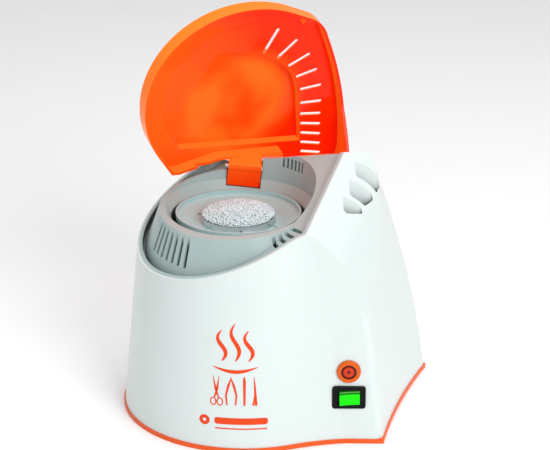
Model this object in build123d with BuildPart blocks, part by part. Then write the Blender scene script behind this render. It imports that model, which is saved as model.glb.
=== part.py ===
"""Table-top quartz-bead steriliser for salon tools.

Millimetres, +Z up.  The origin is the chamber axis at bench level, +X to the right
of the front, +Y to the back.  The lid is made closed and then swung open, because the
object is kept open.
"""

from build123d import *
from math import acos, atan2, cos, degrees, hypot, radians, sin, tan
import os

os.makedirs("parts", exist_ok=True)

# ---------------------------------------------------------------- driving dimensions
BASE_T = 3.0  # base plate, seen as a trim line
WALL = 2.6  # moulded housing wall
TOWER_R = 76.4  # round tower at bench level
DRAFT = 0.0972  # tower radius lost per millimetre of height
LEVELS = (BASE_T, 50, 100, 135, 176)  # heights the housing outline is drawn at

RIM_Z = 139.3  # sloping rim: height over the chamber axis
RIM_GX = 0.405  # and its slopes along X and Y
RIM_GY = 0.30
RIM_DIR = (-RIM_GX, -RIM_GY, 1)
CREST = (68.2, 9.4, 169.6)  # highest point, where the rim meets the rear slope
EDGE_RUN = (27.2, 71.4, 32.6)  # direction of the rim's right-hand edge
REAR_SLOPE = -0.458

COVER_IN = 1.3  # cover edge inside the housing face
FLANGE_T = 2.0
COVER_T = 2.4
RECESS = 5.5  # lid seat below the rim
SKIRT = 14.0  # cover depth below the rim
REAR_SKIRT = 8.0  # and below the rear slope

RING_Z = 139.0  # top of the raised bowl ring over the axis
BOWL_R = 48.5
BOWL_FLOOR_R = 43.4
BOWL_FLOOR_Z = 131.0
RING_R = 51.0
FLARE = 0.43  # tower flank, radius per millimetre of drop

DISH_R = 40.4
WELL_R = 22.3  # bead well bore
WELL_T = 1.4
WELL_Z = (52.0, 130.5)

HINGE = (0.0, 48.0, 146.0)
HINGE_TILT = -6.06  # hinge line falls to the right
OPEN_ANGLE = 89.3  # lid travel from closed to its stop
PIN_R = 1.5
PIN_RUN = 0.05  # radial running clearance of the pin
TONGUE = (-7.5, 14.5)  # lid tongue along the hinge line
NOTCH_R = 13.2  # clear radius swept by the tongue

LID_R = 67.86
LID_TANGENT = -70.2  # polar angle where the round front runs out straight
# right side from the front corner to the hinge line: X, Y and outward direction
LID_SIDE = (
    (37.0, -58.8, -70.2),
    (43.3, -54.4, -46.0),
    (48.4, -46.2, -29.0),
    (66.0, -2.0, -17.0),
    (75.4, 46.0, -8.0),
)
LID_REAR = 54.0
LID_GAP = 0.45  # closed lid above the rim
LID_H = 9.34
LID_T = 1.8
DRUM_R = 43.5
DRUM_H = 6.0
SLOT_COUNT = 11
SLOT_W = 2.3

SWITCH = (70.0, 31.7)  # X and Z of the rocker switch on the front flat
SWITCH_SEAT_Y = -63.2
ROCKER_REST = 8.0  # tilt of the rocker at its "on" stop
LAMP = (69.7, 49.1)
LAMP_SEAT_Y = -62.4
INLET = (34.0, 28.0)
INLET_SEAT_Y = 72.8

FEET = ((-52, -34), (-42, 46), (72, -46), (96, 30))
BOSSES = ((-68.8, -13), (-25.5, 65.2), (87.5, -57.5), (117, 42.5))
BOSS_TOP = 20.0

# ---------------------------------------------------------------- reference planes
RIM = Plane(origin=(0, 0, RIM_Z), x_dir=(1, 0, RIM_GX), z_dir=RIM_DIR)
REAR = Plane(origin=CREST, x_dir=(1, 0, 0), z_dir=(0, -REAR_SLOPE, 1))
RING = Plane(origin=(0, 0, RING_Z), x_dir=(1, 0, 0.06), z_dir=(-0.06, -0.12, 1))
LID_EDGE = RIM.offset(LID_GAP)
TILT = radians(HINGE_TILT)
HINGE_DIR = (cos(TILT), 0, sin(TILT))
HINGE_AXIS = Axis(HINGE, HINGE_DIR)
HINGE_END = Plane(origin=HINGE, x_dir=(0, 1, 0), z_dir=HINGE_DIR)


def box_between(low, high):
    """Plain box between two corners."""
    size = [b - a for a, b in zip(low, high)]
    centre = [(a + b) / 2 for a, b in zip(low, high)]
    with BuildPart() as block:
        with Locations(tuple(centre)):
            Box(*size)
    return block.part


def tube(outer, inner, low, high, at=(0, 0)):
    """Upright tube or disc between two heights."""
    with BuildPart() as ring:
        with BuildSketch(Plane.XY.offset(low)):
            with Locations(at):
                Circle(outer)
                if inner > 0:
                    Circle(inner, mode=Mode.SUBTRACT)
        extrude(amount=high - low)
    return ring.part


def turned(points):
    """Solid of revolution about the chamber axis from a radius and height outline."""
    with BuildPart() as solid:
        with BuildSketch(Plane.XZ):
            with BuildLine():
                Polyline(*points, close=True)
            make_face()
        revolve(axis=Axis.Z)
    return solid.part


def prism(outline, low, high):
    """Upright block over a closed plan outline."""
    with BuildPart() as block:
        with BuildSketch(Plane.XY.offset(low)):
            with BuildLine():
                add(outline)
            make_face()
        extrude(amount=high - low)
    return block.part


# ---------------------------------------------------------------- housing form
def body_outline(z, inset=0.0):
    """Plan outline of the housing at height z: round tower, front flat, right wing."""
    r = TOWER_R - DRAFT * z - inset
    swell = 5.5
    turn = radians(215)
    front_c = (-swell * cos(turn), -swell * sin(turn))
    front_r = r + swell
    meet = (r * cos(turn), r * sin(turn))
    front_mid, front_end = [
        (front_c[0] + front_r * cos(radians(a)), front_c[1] + front_r * sin(radians(a)))
        for a in (250, 290.4)
    ]
    leave = (-(front_end[1] - front_c[1]) / front_r, (front_end[0] - front_c[0]) / front_r)
    flat_start = (68 - 0.12 * z, -65.3 + 0.05 * z + inset)
    front_corner = (91.9 - 0.085 * z - 0.00048 * z * z - inset, -65.9 + 0.05 * z + inset)
    rear_corner = (
        126.8 - 0.12 * z - 0.0009 * z * z - 1.3 * inset,
        46.4 - 0.05 * z - 0.4 * inset,
    )
    belly = -3.2 + 12 * (z / 150) ** 2
    side_mid = (
        (front_corner[0] + rear_corner[0]) / 2 + 0.97 * belly,
        (front_corner[1] + rear_corner[1]) / 2 - 0.2 * belly,
    )
    back = radians(100)
    back_start = (r * cos(back), r * sin(back))
    with BuildLine() as outline:
        CenterArc((0, 0), r, 100, 115)
        ThreePointArc(meet, front_mid, front_end)
        TangentArc(front_end, flat_start, tangent=leave)
        Line(flat_start, front_corner)
        ThreePointArc(front_corner, side_mid, rear_corner)
        TangentArc(back_start, rear_corner, tangent=(sin(back), -cos(back)))
    return outline.line


def body_blank(inset=0.0):
    """Loft of the housing outline through its levels."""
    with BuildPart() as blank:
        for z in LEVELS:
            with BuildSketch(Plane.XY.offset(z)) as level:
                with BuildLine():
                    add(body_outline(z, inset))
                make_face()
                fillet(level.vertices().sort_by(lambda v: v.Y - v.X)[0], 6)
                fillet(level.vertices().sort_by(Axis.X)[-1], 3)
        loft()
    return blank.part


def shoulder_cutter(drop=0.0):
    """Everything above the wing's arched top, which runs along the rim's right edge."""
    with BuildPart() as cutter:
        with BuildSketch(Plane.XZ.offset(-CREST[1])) as profile:
            with BuildLine():
                start = (CREST[0], CREST[2] - drop)
                bend = (start[0] + 13, start[1] - 7.2)
                end = (start[0] + 25, start[1] - 23)
                low = (end[0] + 36, end[1] - 80)
                ThreePointArc(start, bend, end)
                Polyline(end, low, (low[0] + 60, low[1]), (low[0] + 60, 300), (start[0], 300), start)
            make_face()
        extrude(profile.sketch.face(), amount=200, dir=EDGE_RUN)
        extrude(profile.sketch.face(), amount=200, dir=tuple(-v for v in EDGE_RUN))
    return cutter.part


def cut_tops(blank, drop=0.0):
    """Trim a blank to the rim slope, the rear slope and the arched shoulder."""
    with BuildPart() as trimmed:
        add(blank)
        split(bisect_by=RIM.offset(-drop), keep=Keep.BOTTOM)
        split(bisect_by=REAR.offset(-drop), keep=Keep.BOTTOM)
        add(shoulder_cutter(drop), mode=Mode.SUBTRACT)
    return trimmed.part


def cover_region(inset):
    """Block the cover fills: housing outline, left of the rim's right edge."""
    off = inset - COVER_IN
    run = hypot(EDGE_RUN[0], EDGE_RUN[1])
    side = (EDGE_RUN[0] / run, EDGE_RUN[1] / run)
    edge = (41 - (0.8 + off) * side[1], -62 + (0.8 + off) * side[0])
    front = (41, -59 + off)
    # where the slanting front line meets the right edge
    slant = 0.344
    reach = (front[1] + slant * (edge[0] - front[0]) - edge[1]) / (side[1] - slant * side[0])
    corner = (edge[0] + reach * side[0], edge[1] + reach * side[1])
    with BuildPart() as region:
        add(body_blank(inset))
        with BuildSketch(Plane.XY.offset(80)) as plan:
            with BuildLine():
                Polyline(
                    corner,
                    (corner[0] + 180 * side[0], corner[1] + 180 * side[1]),
                    (-110, corner[1] + 180 * side[1]),
                    (-110, corner[1] + slant * (-110 - corner[0])),
                    close=True,
                )
            make_face()
            fillet(plan.vertices().sort_by(Axis.Y)[1], 9 - off / 2)
        extrude(amount=110, mode=Mode.INTERSECT)
    return region.part


# ---------------------------------------------------------------- housing
outer = cut_tops(body_blank())
inner = cut_tops(body_blank(WALL), WALL)
cover_fill = cover_region(COVER_IN)
cover_inner = cover_region(COVER_IN + FLANGE_T)

with BuildPart() as lower_fill:
    add(cover_fill)
    split(bisect_by=RIM.offset(-SKIRT), keep=Keep.BOTTOM)
    split(bisect_by=REAR.offset(-REAR_SKIRT), keep=Keep.BOTTOM)

with BuildPart() as opening:
    add(cover_fill)
    add(lower_fill.part, mode=Mode.SUBTRACT)

POCKET_FLOOR = 104.0
POCKET_TRIM = (64.6, 62.4, 62.4)  # radius of the curve that ends each pocket


def pocket_plan(number, grow=0.0):
    """One tool pocket: a slanted slot trimmed by the curve of the wing."""
    corner = (66.4 + 4.2 * number, -32.4 + 14.5 * number)
    length = 10.9 - 0.9 * number
    across = (30.0, 8.4)
    with BuildSketch() as plan:
        with BuildLine():
            Polyline(
                corner,
                (corner[0] + across[0], corner[1] + across[1]),
                (corner[0] + across[0], corner[1] + across[1] + length),
                (corner[0] - 0.6, corner[1] + length),
                close=True,
            )
        make_face()
        with Locations((30, 22)):
            Circle(POCKET_TRIM[number], mode=Mode.INTERSECT)
        fillet(plan.vertices(), 1.6)
        if grow > 0:
            offset(amount=grow, kind=Kind.ARC)
    return plan.sketch


with BuildPart() as pocket_walls:
    for number in range(3):
        with BuildSketch(Plane.XY.offset(POCKET_FLOOR - 1.8)):
            add(pocket_plan(number, 1.8))
        extrude(amount=70)
    add(outer, mode=Mode.INTERSECT)

with BuildPart() as inlet_pad:
    add(box_between((8, 69.6, 13), (60, 78, 43)))
    add(outer, mode=Mode.INTERSECT)

with BuildPart() as housing:
    add(outer)
    add(inner, mode=Mode.SUBTRACT)
    add(pocket_walls.part)
    for x, y in BOSSES:
        with BuildSketch(Plane.XY.offset(BASE_T)):
            with Locations((x, y)):
                Circle(4.2)
        extrude(amount=BOSS_TOP - BASE_T)
    add(inlet_pad.part)
    add(opening.part, mode=Mode.SUBTRACT)
    for number in range(3):
        with BuildSketch(Plane.XY.offset(POCKET_FLOOR)):
            add(pocket_plan(number))
        extrude(amount=80, mode=Mode.SUBTRACT)
    # screw bores in the bosses
    with Locations(*[(x, y, BASE_T) for x, y in BOSSES]):
        Cylinder(1.5, 12, align=(Align.CENTER, Align.CENTER, Align.MIN), mode=Mode.SUBTRACT)
    # rocker switch: flat seat and window
    with BuildSketch(Plane.XZ.offset(-SWITCH_SEAT_Y)):
        with Locations(SWITCH):
            RectangleRounded(21.2, 15.2, 1.8)
    extrude(amount=5, mode=Mode.SUBTRACT)
    with BuildSketch(Plane.XZ.offset(-SWITCH_SEAT_Y)):
        with Locations(SWITCH):
            Rectangle(19.4, 12.8)
    extrude(amount=12, both=True, mode=Mode.SUBTRACT)
    # pilot lamp: flat seat and hole
    with BuildSketch(Plane.XZ.offset(-LAMP_SEAT_Y)):
        with Locations(LAMP):
            Circle(7.6)
    extrude(amount=5, mode=Mode.SUBTRACT)
    with BuildSketch(Plane.XZ.offset(-LAMP_SEAT_Y)):
        with Locations(LAMP):
            Circle(6.1)
    extrude(amount=12, both=True, mode=Mode.SUBTRACT)
    # power inlet: flat seat, window and screw holes
    with BuildSketch(Plane.XZ.offset(-INLET_SEAT_Y)):
        with Locations(INLET):
            RectangleRounded(48.4, 23.4, 3)
    extrude(amount=-6, mode=Mode.SUBTRACT)
    with BuildSketch(Plane.XZ.offset(-INLET_SEAT_Y)):
        with Locations(INLET):
            Rectangle(28, 20.6)
            with GridLocations(40, 0, 2, 1):
                Circle(1.5)
    extrude(amount=8, both=True, mode=Mode.SUBTRACT)
    # clear the tongue's sweep
    with BuildSketch(HINGE_END.offset(TONGUE[0] - 0.5)):
        Circle(NOTCH_R)
    extrude(amount=TONGUE[1] - TONGUE[0] + 1, mode=Mode.SUBTRACT)

# ---------------------------------------------------------------- top cover
with BuildPart() as ring_tower:
    with Locations(RING):
        Cone(
            RING_R + 45 * FLARE, RING_R, 45,
            align=(Align.CENTER, Align.CENTER, Align.MAX),
        )
    add(cover_fill, mode=Mode.INTERSECT)

with BuildPart() as ring_hollow:
    with Locations(RING.offset(-COVER_T)):
        Cone(
            RING_R - 1.2 + 45 * FLARE, RING_R - 1.2, 45,
            align=(Align.CENTER, Align.CENTER, Align.MAX),
        )

with BuildPart() as recess:
    add(cover_inner)
    split(bisect_by=RIM.offset(-RECESS), keep=Keep.TOP)

with BuildPart() as under:
    add(cover_inner)
    split(bisect_by=RIM.offset(-RECESS - COVER_T), keep=Keep.BOTTOM)
    split(bisect_by=REAR.offset(-COVER_T), keep=Keep.BOTTOM)

with BuildPart() as cover_form:
    add(cover_fill)
    split(bisect_by=RIM, keep=Keep.BOTTOM)
    split(bisect_by=REAR, keep=Keep.BOTTOM)
    add(recess.part, mode=Mode.SUBTRACT)
    add(ring_tower.part)

with BuildPart() as below_skirt:
    add(lower_fill.part)
    add(cover_inner, mode=Mode.SUBTRACT)

bowl_hollow = turned(
    ((0, 120), (BOWL_FLOOR_R, 120), (BOWL_FLOOR_R, BOWL_FLOOR_Z), (BOWL_R, 138), (52, 180), (0, 180))
)
bowl_wall = turned(
    ((30, 122), (45.6, 122), (45.6, BOWL_FLOOR_Z - 0.6), (50.7, 137.4), (54.2, 180), (30, 180))
)

with BuildPart() as bowl_shell:
    add(bowl_wall)
    with BuildSketch(HINGE_END.offset(TONGUE[0] - 2.5)):
        Circle(NOTCH_R + 2)
    extrude(amount=TONGUE[1] - TONGUE[0] + 5)
    add(cover_form.part, mode=Mode.INTERSECT)
    add(below_skirt.part, mode=Mode.SUBTRACT)

with BuildPart() as top_cover:
    add(cover_form.part)
    add(lower_fill.part, mode=Mode.SUBTRACT)
    add(under.part, mode=Mode.SUBTRACT)
    add(ring_hollow.part, mode=Mode.SUBTRACT)
    add(bowl_shell.part)
    add(bowl_hollow, mode=Mode.SUBTRACT)
    # tongue notch and hinge pin bores
    with BuildSketch(HINGE_END.offset(TONGUE[0] - 0.5)):
        Circle(NOTCH_R)
    extrude(amount=TONGUE[1] - TONGUE[0] + 1, mode=Mode.SUBTRACT)
    with BuildSketch(HINGE_END.offset(TONGUE[0] - 2.1)):
        Circle(PIN_R)
    extrude(amount=TONGUE[1] - TONGUE[0] + 4.2, mode=Mode.SUBTRACT)
    # vent slots down the tower flank, front left and front right
    for start, span in ((-158, 32), (-65, 32)):
        with Locations(RING):
            with PolarLocations(56.4, 7, start, span, endpoint=True):
                Box(
                    9.5, 2.4, 20,
                    align=(Align.CENTER, Align.CENTER, Align.MAX), mode=Mode.SUBTRACT,
                )
    # rear vents high in the bowl wall
    for start in (34, 126):
        with Locations((0, 0, 152)):
            with PolarLocations(52, 6, start, 20, endpoint=True):
                Box(9, 1.6, 7, mode=Mode.SUBTRACT)

# ---------------------------------------------------------------- base plate and feet
with BuildPart() as base_plate:
    add(prism(body_outline(0, -0.5), 0, BASE_T))
    with Locations(*[(x, y, 0) for x, y in FEET]):
        Cylinder(7, 1.2, align=(Align.CENTER, Align.CENTER, Align.MIN), mode=Mode.SUBTRACT)
    with Locations(*[(x, y, 0) for x, y in BOSSES]):
        Cylinder(3.4, 1.8, align=(Align.CENTER, Align.CENTER, Align.MIN), mode=Mode.SUBTRACT)
        Cylinder(1.6, 4, align=(Align.CENTER, Align.CENTER, Align.MIN), mode=Mode.SUBTRACT)
    # cooling slots round the chamber and holes for the bracket screws
    with BuildSketch() as cooling:
        with PolarLocations(44, 8):
            SlotOverall(16, 3)
        with PolarLocations(27.5, 3, 30):
            Circle(1.5)
    extrude(amount=BASE_T, mode=Mode.SUBTRACT)

with BuildPart() as rubber_feet:
    with Locations(*[(x, y, 0) for x, y in FEET]):
        Cylinder(6.8, 1.2, align=(Align.CENTER, Align.CENTER, Align.MIN))


def pan_screw(radius, length, head_r, head_h):
    """Cross-recess screw pointing up, head underneath from z 0."""
    with BuildPart() as screw:
        with BuildSketch():
            Circle(head_r)
        extrude(amount=head_h)
        with BuildSketch(Plane.XY.offset(head_h)):
            Circle(radius)
        extrude(amount=length)
        with BuildSketch():
            Rectangle(head_r * 1.1, 0.7)
            Rectangle(0.7, head_r * 1.1)
        extrude(amount=0.7, mode=Mode.SUBTRACT)
    return screw.part


with BuildPart() as base_screws:
    with Locations(*[(x, y, 0.3) for x, y in BOSSES]):
        add(pan_screw(1.5, 11.5, 3.0, 1.5))

# ---------------------------------------------------------------- heated chamber
with BuildPart() as bead_well:
    add(
        turned(
            (
                (0, WELL_Z[0]),
                (WELL_R + WELL_T, WELL_Z[0]),
                (WELL_R + WELL_T, 123.6),
                (WELL_R + 5, 123.6),
                (WELL_R + 5, 124.8),
                (WELL_R + WELL_T, 124.8),
                (WELL_R + WELL_T, WELL_Z[1]),
                (WELL_R, WELL_Z[1]),
                (WELL_R, WELL_Z[0] + WELL_T),
                (0, WELL_Z[0] + WELL_T),
            )
        )
    )

with BuildPart() as dish:
    add(
        turned(
            (
                (WELL_R + WELL_T + 0.1, 124.8),
                (WELL_R + 6, 124.8),
                (DISH_R - 2, 128.0),
                (DISH_R, 129.6),
                (DISH_R, 133.2),
                (DISH_R - 1.4, 133.2),
                (DISH_R - 1.4, 130.6),
                (DISH_R - 3, 129.4),
                (WELL_R + 6, 126.2),
                (WELL_R + WELL_T + 0.1, 126.2),
            )
        )
    )
    # radial notches beside the well
    with BuildSketch(Plane.XY.offset(124)):
        with PolarLocations(WELL_R + 4.4, 6, 35):
            Rectangle(5, 1.8)
    extrude(amount=4, mode=Mode.SUBTRACT)

with BuildPart() as quartz_beads:
    add(
        turned(
            (
                (0, WELL_Z[0] + WELL_T),
                (WELL_R, WELL_Z[0] + WELL_T),
                (WELL_R, WELL_Z[1]),
                (17.5, 133.2),
                (12.0, 135.2),
                (6.0, 136.3),
                (0, 136.6),
            )
        )
    )

with BuildPart() as heater_band:
    add(tube(26.3, WELL_R + WELL_T, 60, 108))
    add(box_between((24, -0.8, 58), (30, 0.8, 110)), mode=Mode.SUBTRACT)
    add(box_between((-29.6, -5, 66), (-25.6, -1, 76)))
    add(box_between((-29.6, 1, 66), (-25.6, 5, 76)))

with BuildPart() as insulation_sleeve:
    add(tube(34.0, 30.4, 50, 118))

with BuildPart() as heat_shield:
    add(tube(34.9, 34.1, 46, 121))

with BuildPart() as chamber_bracket:
    add(tube(37, 8, 44.4, 46))
    for turn in (30, 150, 270):
        foot = Plane.XY.offset(BASE_T).rotated((0, 0, turn))
        with BuildSketch(foot):
            with Locations((36.2, 0)):
                Rectangle(1.6, 12)
        extrude(amount=42)
        with BuildSketch(foot):
            with Locations((30, 0)):
                Rectangle(14, 12)
        extrude(amount=1.6)
    with BuildSketch(Plane.XY.offset(BASE_T)):
        with PolarLocations(27.5, 3, 30):
            Circle(1.6)
    extrude(amount=4, mode=Mode.SUBTRACT)

with BuildPart() as bracket_screws:
    with PolarLocations(27.5, 3, 30):
        with Locations((0, 0, BASE_T + 1.6)):
            Cylinder(2.9, 1.6, align=(Align.CENTER, Align.CENTER, Align.MIN))
            Box(5, 0.8, 1, align=(Align.CENTER, Align.CENTER, Align.MAX), mode=Mode.PRIVATE)
        with Locations((0, 0, 0.8)):
            Cylinder(1.5, 4, align=(Align.CENTER, Align.CENTER, Align.MIN))
        with Locations((0, 0, BASE_T + 2.5)):
            Box(4, 0.8, 1, mode=Mode.SUBTRACT)

with BuildPart() as thermostat:
    add(box_between((37, -8, 62), (46, 8, 84)))
    add(box_between((34.9, -6, 66), (37, 6, 80)))
    with BuildSketch(Plane.YZ.offset(46)):
        with GridLocations(9, 0, 2, 1):
            with Locations((0, 73)):
                Rectangle(4.8, 0.8)
    extrude(amount=7)

with BuildPart() as thermal_fuse:
    with BuildSketch(Plane.XY.offset(60)):
        with Locations((-38.5, -6)):
            Circle(2.2)
    extrude(amount=14)
    add(box_between((-39.5, -7, 56), (-37.5, -5, 60)))
    add(box_between((-39.5, -7, 74), (-37.5, -5, 78)))
    add(box_between((-39, -6.5, 64), (-34.9, -5.5, 70)))

with BuildPart() as terminal_block:
    add(box_between((56, 6, BASE_T), (88, 22, BASE_T + 15)))
    with Locations(*[(61 + 7.4 * n, 14, BASE_T + 15) for n in range(4)]):
        Cylinder(2.4, 7, mode=Mode.SUBTRACT)
    with Locations(*[(61 + 7.4 * n, 14, BASE_T + 6) for n in range(4)]):
        Box(3.4, 20, 4, mode=Mode.SUBTRACT)

# ---------------------------------------------------------------- rear inlet
SEAT_IN = Plane.XZ.offset(-INLET_SEAT_Y)

with BuildPart() as power_inlet:
    with BuildSketch(SEAT_IN):
        with Locations(INLET):
            RectangleRounded(48, 23, 3)
    extrude(amount=-2.6)
    with BuildSketch(SEAT_IN):
        with Locations(INLET):
            Rectangle(27.6, 20.2)
    extrude(amount=18)
    # socket cavity, open to the rear
    with BuildSketch(SEAT_IN.offset(-2.6)):
        with Locations(INLET):
            Rectangle(24.4, 16.8)
    extrude(amount=17, mode=Mode.SUBTRACT)
    with BuildSketch(SEAT_IN.offset(-2.6)):
        with Locations(INLET):
            with GridLocations(40, 0, 2, 1):
                Circle(1.6)
            with GridLocations(7, 0, 3, 1):
                Rectangle(2.2, 4.2)
    extrude(amount=24, mode=Mode.SUBTRACT)

with BuildPart() as inlet_pins:
    with BuildSketch(SEAT_IN.offset(-0.4)):
        with Locations(INLET):
            with GridLocations(7, 0, 3, 1):
                Rectangle(2, 4)
    extrude(amount=26)

with BuildPart() as inlet_screws:
    with BuildSketch(SEAT_IN.offset(-2.6)):
        with Locations(INLET):
            with GridLocations(40, 0, 2, 1):
                Circle(2.9)
    extrude(amount=-1.6)
    with BuildSketch(SEAT_IN.offset(-2.6)):
        with Locations(INLET):
            with GridLocations(40, 0, 2, 1):
                Circle(1.5)
    extrude(amount=9)
    with BuildSketch(SEAT_IN.offset(-4.2)):
        with Locations(INLET):
            with GridLocations(40, 0, 2, 1):
                Rectangle(4.4, 0.8)
                Rectangle(0.8, 4.4)
    extrude(amount=0.8, mode=Mode.SUBTRACT)

# ---------------------------------------------------------------- switch and lamp
SWITCH_SEAT = Plane.XZ.offset(-SWITCH_SEAT_Y)
PIVOT_Y = SWITCH_SEAT_Y + 0.6

with BuildPart() as switch_body:
    with BuildSketch(SWITCH_SEAT):
        with Locations(SWITCH):
            RectangleRounded(21, 15, 1.7)
    extrude(amount=2.0)
    with BuildSketch(SWITCH_SEAT):
        with Locations(SWITCH):
            Rectangle(19.2, 12.6)
    extrude(amount=-15)
    with BuildSketch(SWITCH_SEAT.offset(2)):
        with Locations(SWITCH):
            Rectangle(14.4, 10)
    extrude(amount=-8, mode=Mode.SUBTRACT)
    with Locations((SWITCH[0], PIVOT_Y, SWITCH[1])):
        Cylinder(0.85, 11.6, mode=Mode.SUBTRACT)

with BuildPart() as switch_terminals:
    for x in (SWITCH[0] - 6, SWITCH[0], SWITCH[0] + 6):
        add(
            box_between(
                (x - 2.3, SWITCH_SEAT_Y + 15, SWITCH[1] - 0.4),
                (x + 2.3, SWITCH_SEAT_Y + 22, SWITCH[1] + 0.4),
            )
        )

with BuildPart() as rocker_level:
    with BuildSketch(Plane.XY.offset(SWITCH[1] - 4.7)):
        with BuildLine():
            left = (SWITCH[0] - 6.4, SWITCH_SEAT_Y - 3.0)
            right = (SWITCH[0] + 6.4, SWITCH_SEAT_Y - 3.0)
            low_right = (SWITCH[0] + 5.8, SWITCH_SEAT_Y + 3.0)
            low_left = (SWITCH[0] - 5.8, SWITCH_SEAT_Y + 3.0)
            ThreePointArc(left, (SWITCH[0], SWITCH_SEAT_Y - 2.6), right)
            Polyline(right, low_right, low_left, left)
        make_face()
    extrude(amount=9.4)
    with Locations((SWITCH[0], PIVOT_Y, SWITCH[1])):
        Cylinder(0.8, 11.0)
rocker = rocker_level.part.rotate(
    Axis((SWITCH[0], PIVOT_Y, 0), (0, 0, 1)), ROCKER_REST
)

LAMP_SEAT = Plane.XZ.offset(-LAMP_SEAT_Y)

with BuildPart() as lamp_bezel:
    with BuildSketch(LAMP_SEAT):
        with Locations(LAMP):
            Circle(7.5)
    extrude(amount=2.4)
    fillet(lamp_bezel.edges().sort_by(Axis.Y)[0], 0.8)
    with BuildSketch(LAMP_SEAT):
        with Locations(LAMP):
            Circle(6.0)
    extrude(amount=-16)
    with BuildSketch(LAMP_SEAT.offset(2.4)):
        with Locations(LAMP):
            Circle(4.9)
    extrude(amount=-14, mode=Mode.SUBTRACT)

with BuildPart() as lamp_lens:
    with BuildSketch(LAMP_SEAT.offset(-8)):
        with Locations(LAMP):
            Circle(4.8)
    extrude(amount=9.2)
    with BuildSketch(LAMP_SEAT.offset(1.2)):
        with Locations(LAMP):
            Circle(3.8)
    extrude(amount=0.9, taper=20)
    with BuildSketch(LAMP_SEAT.offset(-8)):
        with Locations(LAMP):
            Circle(3.4)
    extrude(amount=7, mode=Mode.SUBTRACT)

with BuildPart() as lamp_nut:
    with BuildSketch(LAMP_SEAT.offset(-3.2)):
        with Locations(LAMP):
            RegularPolygon(9, 6)
            Circle(6.0, mode=Mode.SUBTRACT)
    extrude(amount=-3)

# ---------------------------------------------------------------- hinge pin
with BuildPart() as hinge_pin:
    with BuildSketch(HINGE_END.offset(TONGUE[0] - 2.1)):
        Circle(PIN_R)
    extrude(amount=TONGUE[1] - TONGUE[0] + 4.2)


# ---------------------------------------------------------------- lid
def lid_outline(inset=0.0):
    """Plan outline of the lid on its edge plane, with the step round the hinge."""
    r = LID_R - inset
    start = (r * cos(radians(LID_TANGENT)), r * sin(radians(LID_TANGENT)))
    side = [
        (x - inset * cos(radians(out)), y - inset * sin(radians(out))) for x, y, out in LID_SIDE
    ]
    rear = LID_REAR - inset
    right_end = (side[-1][0] - 0.6, rear)
    tangent = radians(145)
    left_start = (r * cos(tangent), r * sin(tangent))
    run = (rear - left_start[1]) / cos(radians(35))
    left_end = (left_start[0] + run * sin(radians(35)), rear)
    with BuildLine() as outline:
        ThreePointArc(left_start, (r * cos(radians(215)), r * sin(radians(215))), start)
        Line(start, side[0])
        ThreePointArc(side[0], side[1], side[2])
        ThreePointArc(side[2], side[3], side[4])
        Polyline(
            side[4],
            right_end,
            (28 + inset, rear),
            (28 + inset, 44 - inset),
            (-13 - inset * 0.4, 45 - inset),
            (-40 - inset * 0.4, rear),
            left_end,
            left_start,
        )
    return outline.line


def plan_face(outline):
    with BuildSketch() as plan:
        with BuildLine():
            add(outline)
        make_face()
    return plan.sketch


def on_edge_plane(plan):
    """Face on the lid's edge plane under a plan sketch."""
    with BuildPart() as column:
        with BuildSketch(Plane.XY.offset(60)):
            add(plan)
        extrude(amount=180)
        split(bisect_by=LID_EDGE, keep=Keep.BOTTOM)
    return column.faces().sort_by(Axis((0, 0, 0), RIM_DIR))[-1]


def lid_block(inset, height):
    """Lid form up to a height square to the rim, and down to the rear slope behind it."""
    section = on_edge_plane(plan_face(lid_outline(inset)))
    with BuildPart() as drop:
        extrude(section, amount=70, dir=(0, 0, -1))
        split(bisect_by=REAR.offset(LID_GAP), keep=Keep.TOP)
    with BuildPart() as block:
        extrude(section, amount=height, dir=RIM_DIR)
        add(drop.part)
    return block.part


def drum_block(inset, height):
    """Raised round centre of the lid, square to the rim."""
    with BuildSketch() as plan:
        SlotCenterPoint((1, 26.5), (4, 42), 2 * (DRUM_R - inset))
        with Locations((0, -20)):
            Rectangle(140, 2 * (61 - inset), mode=Mode.INTERSECT)
    with BuildPart() as block:
        extrude(on_edge_plane(plan.sketch), amount=height, dir=RIM_DIR)
    return block.part


def ring_dome(radius, top):
    """Drum over the bowl ring, square to the ring."""
    with BuildPart() as dome:
        with BuildSketch(RING.offset(top)):
            Circle(radius)
        extrude(amount=-40)
    return dome.part


def above_plate(part, height):
    with BuildPart() as kept:
        add(part)
        split(bisect_by=LID_EDGE.offset(height), keep=Keep.TOP)
    return kept.part


with BuildPart() as slot_cutter:
    for n in range(SLOT_COUNT):
        if n < 6:
            turn = radians(-73.7 + 14.3 * n)
            inner_end = (-5 + DRUM_R * cos(turn), 9 + DRUM_R * sin(turn))
        else:
            inner_end = (39.6 + 1.25 * (n - 6), 15.9 + 7.6 * (n - 6))
        heading = 9 - 75.5 * (1 - n / 10) ** 2.6
        length = 15 + 1.5 * max(0, 3 - n)
        middle = (
            inner_end[0] + length / 2 * cos(radians(heading)),
            inner_end[1] + length / 2 * sin(radians(heading)),
        )
        with BuildSketch(Plane.XY.offset(130)):
            with Locations(middle):
                SlotOverall(length, SLOT_W, rotation=heading)
        extrude(amount=80)

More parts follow.
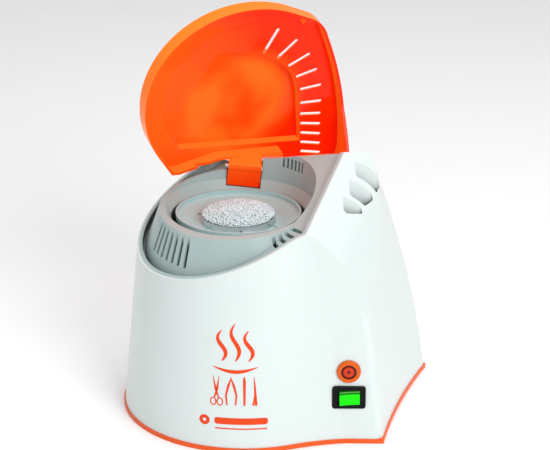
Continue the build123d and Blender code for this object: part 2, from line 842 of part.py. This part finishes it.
with BuildPart() as lid_closed:
    add(lid_block(0, LID_H))
    add(above_plate(drum_block(0, LID_H + DRUM_H), LID_H - LID_T))
    add(above_plate(ring_dome(58.8, 4.0), LID_H - LID_T))
    add(lid_block(LID_T, LID_H - LID_T), mode=Mode.SUBTRACT)
    add(drum_block(LID_T, LID_H + DRUM_H - LID_T), mode=Mode.SUBTRACT)
    add(ring_dome(57.0, 2.2), mode=Mode.SUBTRACT)
    add(slot_cutter.part, mode=Mode.SUBTRACT)
    # rear wall stops clear of the housing when the lid is open
    with Locations(Plane(origin=HINGE, x_dir=HINGE_DIR, z_dir=(-sin(TILT), 0, cos(TILT)))):
        with Locations((62, 12, 0)):
            Box(76, 32, 33.4, mode=Mode.SUBTRACT)
    # catch tab inside the front edge
    with BuildSketch(LID_EDGE) as tab:
        with Locations((30.2, -58.6)):
            Rectangle(7, 4.4, rotation=90 + LID_TANGENT)
    extrude(amount=5)
    # tongue: knuckle, web up to the lid and stop blade
    with BuildSketch(HINGE_END.offset(TONGUE[0])):
        Circle(3.2)
        with BuildLine():
            Polyline((-6.6, 12), (-3.9, 18), (2.4, 1.6), (-2.2, -1.6), close=True)
        make_face()
        with BuildLine():
            Polyline((0, 3.0), (12.4, 0.4), (12.4, -2.0), (0, -2.6), close=True)
        make_face()
    extrude(amount=TONGUE[1] - TONGUE[0])
    with BuildSketch(HINGE_END.offset(TONGUE[0] - 1)):
        Circle(PIN_R + PIN_RUN)
    extrude(amount=TONGUE[1] - TONGUE[0] + 2, mode=Mode.SUBTRACT)

lid = lid_closed.part.rotate(HINGE_AXIS, -OPEN_ANGLE)

# ---------------------------------------------------------------- export
PIECES = {
    "housing": housing.part,
    "top_cover": top_cover.part,
    "base_plate": base_plate.part,
    "rubber_feet": rubber_feet.part,
    "base_screws": base_screws.part,
    "bead_well": bead_well.part,
    "dish": dish.part,
    "quartz_beads": quartz_beads.part,
    "heater_band": heater_band.part,
    "insulation_sleeve": insulation_sleeve.part,
    "heat_shield": heat_shield.part,
    "chamber_bracket": chamber_bracket.part,
    "bracket_screws": bracket_screws.part,
    "thermostat": thermostat.part,
    "thermal_fuse": thermal_fuse.part,
    "terminal_block": terminal_block.part,
    "power_inlet": power_inlet.part,
    "inlet_pins": inlet_pins.part,
    "inlet_screws": inlet_screws.part,
    "switch_body": switch_body.part,
    "switch_terminals": switch_terminals.part,
    "rocker": rocker,
    "lamp_bezel": lamp_bezel.part,
    "lamp_lens": lamp_lens.part,
    "lamp_nut": lamp_nut.part,
    "hinge_pin": hinge_pin.part,
    "lid": lid,
}
for name, piece in PIECES.items():
    piece.label = name
    export_step(piece, "parts/" + name + ".step")
    sizes = sorted((round(s.volume, 1) for s in piece.solids()), reverse=True)
    print(name, piece.is_valid, sizes[:6])
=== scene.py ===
"""Looks of the quartz-bead steriliser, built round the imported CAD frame.  Metres."""

import math
import random

import bmesh
import bpy
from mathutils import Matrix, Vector
from mathutils.bvhtree import BVHTree


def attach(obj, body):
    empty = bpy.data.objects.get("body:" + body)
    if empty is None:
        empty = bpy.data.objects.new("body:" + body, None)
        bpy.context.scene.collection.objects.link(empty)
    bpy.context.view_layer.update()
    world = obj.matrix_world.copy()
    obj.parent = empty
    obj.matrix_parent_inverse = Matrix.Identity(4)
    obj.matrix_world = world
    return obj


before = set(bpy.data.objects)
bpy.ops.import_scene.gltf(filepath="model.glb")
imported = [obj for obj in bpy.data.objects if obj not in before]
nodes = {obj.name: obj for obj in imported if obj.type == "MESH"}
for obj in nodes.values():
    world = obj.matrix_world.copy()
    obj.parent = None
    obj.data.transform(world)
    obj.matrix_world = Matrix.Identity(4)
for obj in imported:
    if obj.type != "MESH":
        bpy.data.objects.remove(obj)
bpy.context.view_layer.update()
MM = 0.001
# the lid's centre drum at rest: a point on its axis and the axis direction
DRUM_CENTRE = (0.0018, 0.0438, 0.1832)
LID_NORMAL = (-0.422, 0.8465, 0.3246)
# the lid's colour changes from drum to flange between these distances from the drum's axis
DRUM_EDGE = (0.030, 0.050)
# painted shade: the flange is painted darker from the left of the lid to the right, between
# these X
FLANGE_SHADE_LEFT_TO_RIGHT = (-0.062, 0.050)
# the pilot lamp's axis runs along Y through this point
LAMP_AXIS = (0.0697, 0, 0.0491)
SWITCH_Z = 0.0317
# how far the painted shade in a moulding's hollows looks for nearby walls
PAINTED_SHADE_REACH = 0.08


# ------------------------------------------------------------------ shader nodes
def new_material(name):
    mat = bpy.data.materials.new(name)
    mat.use_nodes = True
    tree = mat.node_tree
    return mat, tree, tree.nodes["Principled BSDF"]


def noise(tree, scale, detail=3.0, rough=0.5, stretch=None):
    """Object-space noise as a 0 to 1 value; scale is in cycles per metre."""
    place = tree.nodes.new("ShaderNodeTexCoord").outputs["Object"]
    if stretch:
        mapping = tree.nodes.new("ShaderNodeMapping")
        mapping.inputs["Scale"].default_value = stretch
        tree.links.new(place, mapping.inputs["Vector"])
        place = mapping.outputs["Vector"]
    tex = tree.nodes.new("ShaderNodeTexNoise")
    tex.inputs["Scale"].default_value = scale
    tex.inputs["Detail"].default_value = detail
    tex.inputs["Roughness"].default_value = rough
    tree.links.new(place, tex.inputs["Vector"])
    return tex.outputs["Fac"]


def ramp(tree, source, low, high, start=0.3, end=0.7):
    """Colour that goes from low to high as the source goes from start to end."""
    node = tree.nodes.new("ShaderNodeValToRGB")
    first, last = node.color_ramp.elements
    first.position, last.position = start, end
    first.color, last.color = (*low, 1), (*high, 1)
    tree.links.new(source, node.inputs["Fac"])
    return node.outputs["Color"]


def spread(tree, source, low, high):
    """Value between low and high for a 0 to 1 source."""
    node = tree.nodes.new("ShaderNodeMapRange")
    node.inputs["To Min"].default_value = low
    node.inputs["To Max"].default_value = high
    tree.links.new(source, node.inputs["Value"])
    return node.outputs["Result"]


def between(tree, source, start, end):
    """0 to 1 value as the source goes from start to end, clamped outside."""
    node = tree.nodes.new("ShaderNodeMapRange")
    node.inputs["From Min"].default_value = start
    node.inputs["From Max"].default_value = end
    tree.links.new(source, node.inputs["Value"])
    return node.outputs["Result"]


def vector_step(tree, operation, source, constant=(0, 0, 0), output="Vector"):
    node = tree.nodes.new("ShaderNodeVectorMath")
    node.operation = operation
    node.inputs[1].default_value = constant
    tree.links.new(source, node.inputs[0])
    return node.outputs[output]


def mix(tree, factor, start, end):
    """Colour mix by a source factor; start is a colour socket or a constant colour."""
    node = tree.nodes.new("ShaderNodeMix")
    node.data_type = "RGBA"
    if isinstance(start, tuple):
        node.inputs["A"].default_value = (*start, 1)
    else:
        tree.links.new(start, node.inputs["A"])
    tree.links.new(factor, node.inputs["Factor"])
    tree.links.new(end, node.inputs["B"])
    return node.outputs["Result"]


def bump(tree, shader, source, strength, depth):
    node = tree.nodes.new("ShaderNodeBump")
    node.inputs["Strength"].default_value = strength
    node.inputs["Distance"].default_value = depth
    tree.links.new(source, node.inputs["Height"])
    tree.links.new(node.outputs["Normal"], shader.inputs["Normal"])


def painted_hollow_shade(tree, tint, hollow_shade, opening):
    """Colour painted darker inside pockets, vents and closed hollows: painted shade where nearby
    walls close round the surface.
    """
    hollow = tree.nodes.new("ShaderNodeAmbientOcclusion")
    hollow.samples = 8
    hollow.inputs["Distance"].default_value = PAINTED_SHADE_REACH
    return mix(tree, between(tree, hollow.outputs["AO"], 0.01, opening), hollow_shade, tint)


def banded(tree, source, stops):
    """Colour bands along a measure in metres: (distance, colour) pairs."""
    start, end = stops[0][0], stops[-1][0]
    node = tree.nodes.new("ShaderNodeValToRGB")
    first, last = node.color_ramp.elements
    first.position, last.position = 0, 1
    first.color, last.color = (*stops[0][1], 1), (*stops[-1][1], 1)
    for place, colour in stops[1:-1]:
        stop = node.color_ramp.elements.new((place - start) / (end - start))
        stop.color = (*colour, 1)
    tree.links.new(between(tree, source, start, end), node.inputs["Fac"])
    return node.outputs["Color"]


def lamp_and_painted_glow(tree, shader, colour, strength):
    """Base colour that also glows a little: lamp glow for the lit lens and rocker, painted glow
    for the lid, which is no lamp.
    """
    tree.links.new(colour, shader.inputs["Base Color"])
    tree.links.new(colour, shader.inputs["Emission Color"])
    shader.inputs["Emission Strength"].default_value = strength


# ------------------------------------------------------------------ materials
def moulded(
    name,
    colour,
    shade=0.06,
    rough=(0.28, 0.42),
    grain=900,
    coat=0.0,
    depth=0.00006,
    shine=0.5,
    hollow_shade=None,
):
    """Injection-moulded plastic: faint mottling, uneven gloss and a fine skin; with hollow_shade
    given, painted shade in its hollows.
    """
    mat, tree, shader = new_material(name)
    broad = noise(tree, 18, 4.0)
    dark = tuple(c * (1 - shade) for c in colour)
    tint = ramp(tree, broad, dark, colour)
    if hollow_shade:
        # painted shade: the colour darkens where walls close round the surface
        tint = painted_hollow_shade(tree, tint, *hollow_shade)
    tree.links.new(tint, shader.inputs["Base Color"])
    tree.links.new(spread(tree, broad, *rough), shader.inputs["Roughness"])
    bump(tree, shader, noise(tree, grain, 4.0), 0.25, depth)
    shader.inputs["Coat Weight"].default_value = coat
    shader.inputs["Coat Roughness"].default_value = 0.18
    shader.inputs["Specular IOR Level"].default_value = shine
    return mat


def metal(name, colour, rough=(0.22, 0.42), stretch=(1, 1, 30), scale=120):
    """Worked metal: streaks that vary its tone, gloss and surface."""
    mat, tree, shader = new_material(name)
    streak = noise(tree, scale, 5.0, 0.6, stretch)
    dark = tuple(c * 0.8 for c in colour)
    tree.links.new(ramp(tree, streak, dark, colour), shader.inputs["Base Color"])
    tree.links.new(spread(tree, streak, *rough), shader.inputs["Roughness"])
    shader.inputs["Metallic"].default_value = 1.0
    bump(tree, shader, streak, 0.2, 0.00004)
    return mat


def lid_plastic():
    """Translucent orange acrylic: clouded centre drum, flange painted darker to the right as
    painted shade, skirt walls painted paler as painted light, and a painted glow.
    """
    mat, tree, shader = new_material("orange_acrylic")
    coord = tree.nodes.new("ShaderNodeTexCoord")
    split = tree.nodes.new("ShaderNodeSeparateXYZ")
    tree.links.new(coord.outputs["Object"], split.inputs["Vector"])
    cloud = noise(tree, 22, 2.0)

    # painted shade across the flange: darker towards the right of the lid
    painted_flange_shade = between(tree, split.outputs["X"], *FLANGE_SHADE_LEFT_TO_RIGHT)
    clouded_side = tree.nodes.new("ShaderNodeMath")
    clouded_side.operation = "MULTIPLY_ADD"
    clouded_side.inputs[1].default_value = 0.5
    tree.links.new(cloud, clouded_side.inputs[0])
    tree.links.new(painted_flange_shade, clouded_side.inputs[2])
    flange = ramp(
        tree,
        clouded_side.outputs["Value"],
        (0.92, 0.13, 0.006),
        (0.90, 0.022, 0.0),
        0.2,
        0.95,
    )
    drum = ramp(tree, cloud, (0.92, 0.045, 0.0), (0.92, 0.15, 0.01), 0.35, 0.62)

    offset = vector_step(tree, "SUBTRACT", coord.outputs["Object"], DRUM_CENTRE)
    across = vector_step(tree, "CROSS_PRODUCT", offset, LID_NORMAL)
    radius = vector_step(tree, "LENGTH", across, output="Value")
    panel = mix(tree, between(tree, radius, *DRUM_EDGE), drum, flange)

    # walls that stand square to the lid take the paler skirt colour: painted light on the skirt
    # faces, set by which way they face
    facing = vector_step(
        tree, "DOT_PRODUCT", coord.outputs["Normal"], LID_NORMAL, output="Value"
    )
    flat = tree.nodes.new("ShaderNodeMath")
    flat.operation = "ABSOLUTE"
    tree.links.new(facing, flat.inputs[0])
    flatness = between(tree, flat.outputs["Value"], 0.25, 0.6)
    # painted glow: the lid is no lamp, yet its colour is also emitted to brighten it
    lamp_and_painted_glow(tree, shader, mix(tree, flatness, (0.95, 0.21, 0.018), panel), 0.16)

    shader.inputs["Roughness"].default_value = 0.12
    shader.inputs["Transmission Weight"].default_value = 0.12
    shader.inputs["IOR"].default_value = 1.4
    shader.inputs["Specular IOR Level"].default_value = 0.12
    bump(tree, shader, noise(tree, 45, 2.0), 0.1, 0.0005)
    return mat


def bead_glass():
    """Small quartz balls: pale and cool, each a little different in tone."""
    mat, tree, shader = new_material("quartz_bead")
    speck = noise(tree, 900, 2.0)
    tint = ramp(tree, speck, (0.62, 0.74, 0.78), (0.88, 0.98, 1.0), 0.35, 0.6)
    tree.links.new(tint, shader.inputs["Base Color"])
    shader.inputs["Roughness"].default_value = 0.08
    shader.inputs["Transmission Weight"].default_value = 0.25
    shader.inputs["IOR"].default_value = 1.5
    shader.inputs["Specular IOR Level"].default_value = 0.8
    return mat


def lens_plastic():
    """Domed pilot lens: dark filament spot, glowing body and a dark seat ring."""
    mat, tree, shader = new_material("orange_lens")
    coord = tree.nodes.new("ShaderNodeTexCoord")
    offset = vector_step(tree, "SUBTRACT", coord.outputs["Object"], LAMP_AXIS)
    flat = vector_step(tree, "MULTIPLY", offset, (1, 0, 1))
    radius = vector_step(tree, "LENGTH", flat, output="Value")
    dark = (0.06, 0.002, 0.0)
    glow = (0.50, 0.028, 0.0)
    bands = banded(
        tree,
        radius,
        [
            (0, dark),
            (0.0007, dark),
            (0.0014, glow),
            (0.0032, glow),
            (0.0038, dark),
            (0.0048, dark),
        ],
    )
    lamp_and_painted_glow(tree, shader, bands, 0.15)
    shader.inputs["Specular IOR Level"].default_value = 0.3
    speck = noise(tree, 500, 3.0)
    tree.links.new(spread(tree, speck, 0.04, 0.1), shader.inputs["Roughness"])
    bump(tree, shader, speck, 0.1, 0.0001)
    return mat


def rocker_plastic():
    """Lit green rocker: bright pad, painted shade on its top flank and a painted highlight line
    along its top edge.
    """
    mat, tree, shader = new_material("green_lit_plastic")
    coord = tree.nodes.new("ShaderNodeTexCoord")
    split = tree.nodes.new("ShaderNodeSeparateXYZ")
    tree.links.new(coord.outputs["Object"], split.inputs["Vector"])
    bright = (0.006, 0.62, 0.002)
    shade = (0.004, 0.10, 0.004)
    painted_highlight = (0.10, 0.42, 0.06)
    # painted shade on the rocker's top flank, with a painted highlight line at its edge
    bands = banded(
        tree,
        split.outputs["Z"],
        [
            (SWITCH_Z - 0.0052, bright),
            (SWITCH_Z + 0.0024, bright),
            (SWITCH_Z + 0.0029, shade),
            (SWITCH_Z + 0.0037, shade),
            (SWITCH_Z + 0.0041, painted_highlight),
            (SWITCH_Z + 0.0046, shade),
            (SWITCH_Z + 0.0056, shade),
        ],
    )
    speck = noise(tree, 260, 2.0)
    mottle = tree.nodes.new("ShaderNodeMix")
    mottle.data_type = "RGBA"
    mottle.blend_type = "MULTIPLY"
    mottle.inputs["Factor"].default_value = 0.35
    tree.links.new(bands, mottle.inputs["A"])
    tint = ramp(tree, speck, (0.6, 0.8, 0.6), (1, 1, 1), 0.35, 0.6)
    tree.links.new(tint, mottle.inputs["B"])
    lamp_and_painted_glow(tree, shader, mottle.outputs["Result"], 0.35)
    shader.inputs["Specular IOR Level"].default_value = 0.15
    tree.links.new(spread(tree, speck, 0.12, 0.22), shader.inputs["Roughness"])
    bump(tree, shader, speck, 0.1, 0.0001)
    return mat


white_shell = moulded(
    "white_moulding_gloss",
    (0.63, 0.70, 0.688),
    shade=0.006,
    rough=(0.27, 0.30),
    grain=1400,
    coat=0.2,
    # painted shade in the pockets, the vents and the housing's inside seen through them
    hollow_shade=((0.03, 0.05, 0.048), 0.4),
)
grey_cover = moulded(
    "grey_moulding",
    (0.365, 0.465, 0.46),
    shade=0.05,
    rough=(0.3, 0.42),
    grain=1200,
    coat=0.15,
    # painted shade in the cover's vents and gaps
    hollow_shade=((0.03, 0.05, 0.05), 0.3),
)
grey_disc = moulded(
    "grey_dish_paint",
    (0.40, 0.575, 0.58),
    shade=0.05,
    rough=(0.28, 0.4),
    grain=1000,
    coat=0.1,
)
orange_trim = moulded(
    "orange_moulding",
    (0.80, 0.10, 0.012),
    shade=0.08,
    rough=(0.3, 0.4),
    grain=1200,
    coat=0.1,
    shine=0.2,
)
orange_gloss = moulded(
    "orange_bezel",
    (0.66, 0.10, 0.004),
    shade=0.1,
    rough=(0.2, 0.28),
    grain=1000,
    coat=0.1,
    shine=0.2,
)
orange_ink = moulded(
    "orange_print", (0.74, 0.06, 0.008), rough=(0.35, 0.5), grain=1500, shine=0.2
)
black_plastic = moulded(
    "black_moulding",
    (0.004, 0.004, 0.006),
    shade=0.3,
    rough=(0.25, 0.4),
    grain=1500,
    shine=0.12,
)
pale_plastic = moulded(
    "pale_moulding", (0.74, 0.74, 0.7), shade=0.1, rough=(0.4, 0.55), grain=1200
)
rubber = moulded(
    "foot_rubber", (0.03, 0.03, 0.03), shade=0.3, rough=(0.7, 0.85), grain=1800
)
fibre = moulded(
    "ceramic_fibre",
    (0.8, 0.77, 0.68),
    shade=0.3,
    rough=(0.85, 0.95),
    grain=500,
    depth=0.0008,
)
ceramic = moulded(
    "glazed_ceramic",
    (0.78, 0.76, 0.7),
    shade=0.12,
    rough=(0.2, 0.3),
    grain=700,
    coat=0.3,
)
steel = metal("steel_zinc", (0.62, 0.63, 0.64))
steel_sheet = metal("steel_sheet", (0.55, 0.56, 0.57), (0.3, 0.5), (1, 1, 24), 90)
alloy = metal("alloy_turned", (0.78, 0.79, 0.8), (0.18, 0.3), (1, 1, 60), 60)
brass = metal("brass_contact", (0.78, 0.58, 0.26), (0.2, 0.35))
chrome = metal("chrome_pin", (0.8, 0.8, 0.8), (0.06, 0.12))
quartz = bead_glass()

LOOKS = {
    "housing": white_shell,
    "top_cover": grey_cover,
    "base_plate": orange_trim,
    "rubber_feet": rubber,
    "base_screws": steel,
    "bead_well": alloy,
    "dish": grey_disc,
    "quartz_beads": quartz,
    "heater_band": steel_sheet,
    "insulation_sleeve": fibre,
    "heat_shield": steel_sheet,
    "chamber_bracket": steel_sheet,
    "bracket_screws": steel,
    "thermostat": black_plastic,
    "thermal_fuse": ceramic,
    "terminal_block": pale_plastic,
    "power_inlet": black_plastic,
    "inlet_pins": brass,
    "inlet_screws": steel,
    "switch_body": black_plastic,
    "switch_terminals": brass,
    "lamp_bezel": orange_gloss,
    "lamp_lens": lens_plastic(),
    "lamp_nut": pale_plastic,
    "hinge_pin": chrome,
    "lid": lid_plastic(),
    "rocker": rocker_plastic(),
}
for name, mat in LOOKS.items():
    mesh = nodes[name].data
    for index in range(len(mesh.materials)):
        mesh.materials[index] = mat
    if not mesh.materials:
        mesh.materials.append(mat)


# ------------------------------------------------------------------ added pieces
def mesh_object(name, verts, faces, mat):
    """Smooth mesh piece that rides the base."""
    mesh = bpy.data.meshes.new(name)
    mesh.from_pydata(verts, [], faces)
    mesh.update()
    mesh.materials.append(mat)
    mesh.shade_smooth()
    obj = bpy.data.objects.new(name, mesh)
    bpy.context.scene.collection.objects.link(obj)
    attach(obj, "base")
    return obj


def surface_of(name):
    mesh = nodes[name].data
    verts = [v.co.copy() for v in mesh.vertices]
    faces = [tuple(p.vertices) for p in mesh.polygons]
    return BVHTree.FromPolygons(verts, faces)


# ------------------------------------------------------------------ bead heap, in millimetres
HEAP_RIM_Z = 130.9
HEAP_RISE = 6.0
HEAP_RADIUS = 24.5
GRID_REACH = 23.5
BEAD_REACH = 23.3
BEAD_PITCH = 1.28
ROW_PITCH = BEAD_PITCH * 0.86
BEAD_SIZE = (0.58, 0.78)
BEAD_SHIFT = 0.35
BEAD_LIFT = 0.45
BEAD_SINK = 0.3


def heap_height(r):
    """Top of the bead charge over its radius."""
    return HEAP_RIM_Z + HEAP_RISE * max(0.0, 1 - (r / HEAP_RADIUS) ** 2) ** 0.8


def bead_heap():
    """Heap of balls over the bead charge, on a staggered grid with small random shifts."""
    random.seed(7)
    ball = bmesh.new()
    bmesh.ops.create_icosphere(ball, subdivisions=2, radius=1.0)
    ball_verts = [v.co.copy() for v in ball.verts]
    ball_faces = [tuple(v.index for v in f.verts) for f in ball.faces]
    ball.free()
    verts = []
    faces = []
    row = 0
    y = -GRID_REACH
    while y < GRID_REACH:
        x = -GRID_REACH + (0.5 * BEAD_PITCH if row % 2 else 0)
        while x < GRID_REACH:
            px = x + random.uniform(-BEAD_SHIFT, BEAD_SHIFT)
            py = y + random.uniform(-BEAD_SHIFT, BEAD_SHIFT)
            r = math.hypot(px, py)
            if r < BEAD_REACH:
                size = random.uniform(*BEAD_SIZE)
                z = heap_height(r) + random.uniform(-BEAD_LIFT, BEAD_LIFT) - BEAD_SINK
                base = len(verts)
                verts += [
                    ((px + v.x * size) * MM, (py + v.y * size) * MM, (z + v.z * size) * MM)
                    for v in ball_verts
                ]
                faces += [tuple(base + i for i in f) for f in ball_faces]
            x += BEAD_PITCH
        y += ROW_PITCH
        row += 1
    return mesh_object("bead_heap", verts, faces, quartz)


bead_heap()

# ------------------------------------------------------------------ front print
PRINT_LIFT = 0.07 * MM
IN_FRONT_Y = -0.2
front = surface_of("housing")


def on_front(x, z):
    """Point just off the housing's front face, below a place seen from the front."""
    start = Vector((x * MM, IN_FRONT_Y, z * MM))
    hit, normal, _, _ = front.ray_cast(start, Vector((0, 1, 0)))
    if normal.y > 0:
        normal = -normal
    return hit + normal * PRINT_LIFT


class Print:
    """One printed mark: strips laid on the housing's front, positions in millimetres."""

    def __init__(self):
        self.verts = []
        self.faces = []

    def strip(self, rows):
        """Faces between rows of X and Z positions; every row has the same length."""
        base = len(self.verts)
        across = len(rows[0])
        for row in rows:
            for x, z in row:
                self.verts.append(tuple(on_front(x, z)))
        for i in range(len(rows) - 1):
            for j in range(across - 1):
                a = base + i * across + j
                self.faces.append((a, a + across, a + across + 1, a + 1))

    def stroke(self, points, widths, steps=5):
        """Tapering stroke through the points."""
        rows = []
        for k in range(len(points) - 1):
            x0, z0 = points[k]
            x1, z1 = points[k + 1]
            run = math.hypot(x1 - x0, z1 - z0)
            nx, nz = -(z1 - z0) / run, (x1 - x0) / run
            last = k == len(points) - 2
            for i in range(steps + (1 if last else 0)):
                f = i / steps
                w = (widths[k] + (widths[k + 1] - widths[k]) * f) / 2
                x, z = x0 + (x1 - x0) * f, z0 + (z1 - z0) * f
                rows.append([(x + nx * w, z + nz * w), (x, z), (x - nx * w, z - nz * w)])
        self.strip(rows)

    def curve(self, place, width, steps=28):
        """Stroke along place(t), t from 0 to 1, with width(t)."""
        points = [place(i / steps) for i in range(steps + 1)]
        self.stroke(points, [width(i / steps) for i in range(steps + 1)], 1)

    def ring(self, cx, cz, rx, rz, line):
        """Oval line of the given width round a centre."""
        rows = []
        for i in range(25):
            a = math.radians(15 * i)
            c, q = math.cos(a), math.sin(a)
            edges = (line / 2, 0, -line / 2)
            rows.append([(cx + (rx + s) * c, cz + (rz + s) * q) for s in edges])
        self.strip(rows)

    def done(self, name):
        return mesh_object(name, self.verts, self.faces, orange_ink)


def heat_mark():
    """Three rising heat waves over a shallow dish line."""
    mark = Print()
    for middle, low, high in ((-9.6, 60.5, 80.5), (-1.2, 60.5, 85.0), (7.2, 60.5, 80.5)):
        mark.curve(
            lambda t: (middle + 2.5 * math.sin(t * 2 * math.pi), low + (high - low) * t),
            lambda t: 0.5 + 2.6 * math.sin(math.pi * min(1.0, t * 1.02)) ** 0.7 * (1 - 0.35 * t),
        )
    mark.curve(
        lambda t: (-15.2 + 28 * t, 56.6 - 3.0 * math.sin(math.pi * t)),
        lambda t: 0.4 + 2.0 * math.sin(math.pi * t),
    )
    return mark.done("print_heat_mark")


def tool_marks():
    """Small tool pictograms: scissors, nippers, file and tweezers."""
    mark = Print()
    # scissors
    mark.stroke([(-11.4, 50.5), (-12.6, 42.0), (-14.4, 36.2)], [0.3, 1.5, 0.9])
    mark.stroke([(-15.2, 50.5), (-13.6, 42.0), (-11.8, 36.2)], [0.3, 1.5, 0.9])
    mark.ring(-15.2, 33.6, 1.7, 2.4, 0.8)
    mark.ring(-11.0, 33.6, 1.7, 2.4, 0.8)
    # nippers
    handle = [0.4, 1.6, 1.2, 1.0]
    mark.stroke([(-3.6, 50.0), (-5.6, 44.5), (-7.2, 38.0), (-6.6, 31.6)], handle)
    mark.stroke([(-4.2, 50.0), (-2.2, 44.5), (-0.6, 38.0), (-1.2, 31.6)], handle)
    # file
    mark.stroke([(4.4, 50.4), (4.4, 47.5), (4.4, 31.4)], [0.8, 1.9, 1.3])
    # tweezers
    mark.stroke([(10.4, 50.4), (10.9, 44.0), (11.6, 31.4)], [0.4, 1.2, 1.9])
    mark.stroke([(10.6, 38.0), (10.2, 34.0), (9.6, 31.4)], [0.5, 0.9, 1.1])
    return mark.done("print_tool_marks")


def plain_bar():
    """Plain bar over a thin line, with a round spot at its left end."""
    mark = Print()
    mark.ring(-20.8, 20.6, 2.2, 2.2, 2.2)
    bar = [(-14.6, 20.9), (-13.6, 20.9), (18.0, 20.9), (19.0, 20.9)]
    mark.stroke(bar, [2.4, 4.4, 4.4, 2.4], 8)
    mark.stroke([(-14.2, 15.9), (18.6, 15.9)], [0.9, 0.9], 16)
    return mark.done("print_bar")


heat_mark()
tool_marks()
plain_bar()

# ------------------------------------------------------------------ floor, light, camera
FLOOR_HALF = 6.0


def floor():
    """Plain pale floor at the object's foot."""
    s = FLOOR_HALF
    mesh = bpy.data.meshes.new("floor")
    mesh.from_pydata([(-s, -s, 0), (s, -s, 0), (s, s, 0), (-s, s, 0)], [], [(0, 1, 2, 3)])
    mesh.materials.append(
        moulded("floor_paper", (0.93, 0.93, 0.93), shade=0.01, rough=(0.8, 0.9), grain=300)
    )
    obj = bpy.data.objects.new("floor", mesh)
    bpy.context.scene.collection.objects.link(obj)


def area_light(name, place, target, size, power):
    data = bpy.data.lights.new(name, "AREA")
    data.shape = "RECTANGLE"
    data.size, data.size_y = size
    data.energy = power
    obj = bpy.data.objects.new(name, data)
    obj.location = place
    aim = Vector(target) - Vector(place)
    obj.rotation_euler = aim.to_track_quat("-Z", "Y").to_euler()
    bpy.context.scene.collection.objects.link(obj)


floor()
area_light("key", (0.75, -1.3, 0.95), (0.02, 0, 0.08), (0.8, 0.8), 18)
area_light("top", (0.1, 0.1, 1.5), (0.0, 0, 0.1), (1.0, 1.0), 9)
area_light("edge", (-1.2, -0.5, 0.6), (0.0, 0, 0.12), (0.5, 0.9), 1)

world = bpy.data.worlds.new("studio")
world.use_nodes = True
world.node_tree.nodes["Background"].inputs["Color"].default_value = (1, 1, 1, 1)
world.node_tree.nodes["Background"].inputs["Strength"].default_value = 0.55
bpy.context.scene.world = world
bpy.context.scene.view_settings.view_transform = "Standard"

camera_data = bpy.data.cameras.new("camera")
camera_data.lens = 121.9
camera_data.sensor_width = 36
camera = bpy.data.objects.new("camera", camera_data)
camera.location = (0.02344, -1.1192, 0.5562)
camera.rotation_euler = (math.radians(68.85), 0, 0)
bpy.context.scene.collection.objects.link(camera)
bpy.context.scene.camera = camera
